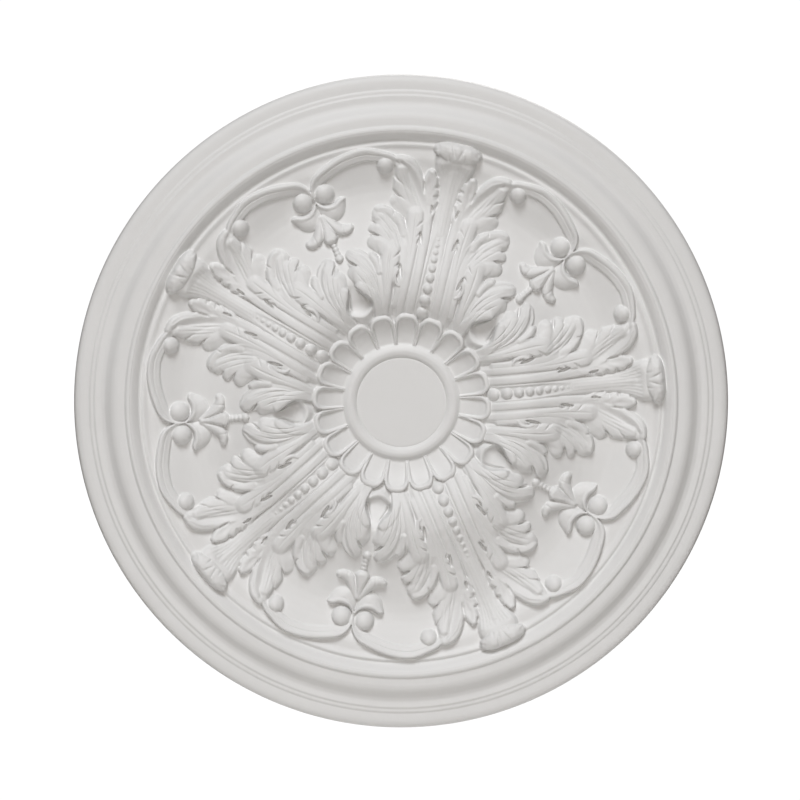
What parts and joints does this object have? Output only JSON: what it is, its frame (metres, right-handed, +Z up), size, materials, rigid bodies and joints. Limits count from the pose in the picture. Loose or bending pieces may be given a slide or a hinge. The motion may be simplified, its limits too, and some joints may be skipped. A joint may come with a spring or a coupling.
{
  "type": "ceiling rose",
  "caption": "Round moulded ceiling rose with a stepped rim, a dished panel of acanthus sprays, scrolls and husk pendants, and scooped petals about a flat centre disc.",
  "frame": {"origin": "centre of the flat back, which lies against the ceiling", "axes": "+Y out of the back, towards the ceiling; the ornament faces -Y; +Z is up in the picture, where the rose is shown upright"},
  "size_m": [0.7, 0.041, 0.7],
  "materials": {
    "primed_foam": "white primed, fine even satin"
  },
  "bodies": {
    "root": {"ceiling_rose": "primed_foam"}
  },
  "joints": []
}
